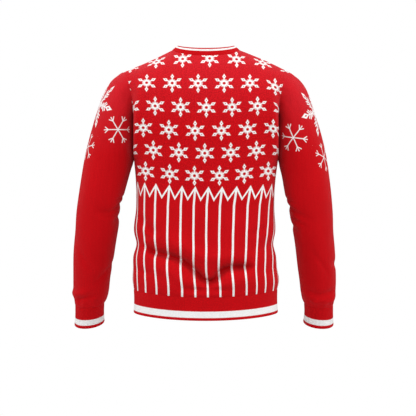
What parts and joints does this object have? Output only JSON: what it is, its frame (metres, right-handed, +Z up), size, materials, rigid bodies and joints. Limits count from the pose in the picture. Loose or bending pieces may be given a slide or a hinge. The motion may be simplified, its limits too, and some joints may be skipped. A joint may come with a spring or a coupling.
{
  "type": "knit sweatshirt",
  "caption": "Crew-neck long-sleeved knit sweatshirt, filled out and hollow, with set-in sleeves, neckband, cuffs and hem band; red with white winter patterns.",
  "frame": {"origin": "where the wearer's shoulders hold it: on the middle plane, level with the tops of the shoulder seams beside the neck", "axes": "+Z up, +Y the way the wearer faces, so the back panel faces -Y; +X to the wearer's right"},
  "size_m": [0.6991, 0.248, 0.7445],
  "materials": {
    "back_panel": "red fine-gauge knit with white motifs",
    "front_panel": "red fine-gauge knit with white motifs",
    "sleeve_left": "red fine-gauge knit with white snowflakes on the upper arm",
    "sleeve_right": "red fine-gauge knit with white snowflakes on the upper arm",
    "neckband": "red rib with a white stripe near its edge",
    "hem_band": "red rib with a white stripe near its edge",
    "cuff_left": "red rib with a white stripe near its edge",
    "cuff_right": "red rib with a white stripe near its edge"
  },
  "bodies": {
    "root": {"back_panel": "back_panel", "front_panel": "front_panel", "sleeve_left": "sleeve_left", "sleeve_right": "sleeve_right", "neckband": "neckband", "hem_band": "hem_band", "cuff_left": "cuff_left", "cuff_right": "cuff_right"}
  },
  "joints": []
}
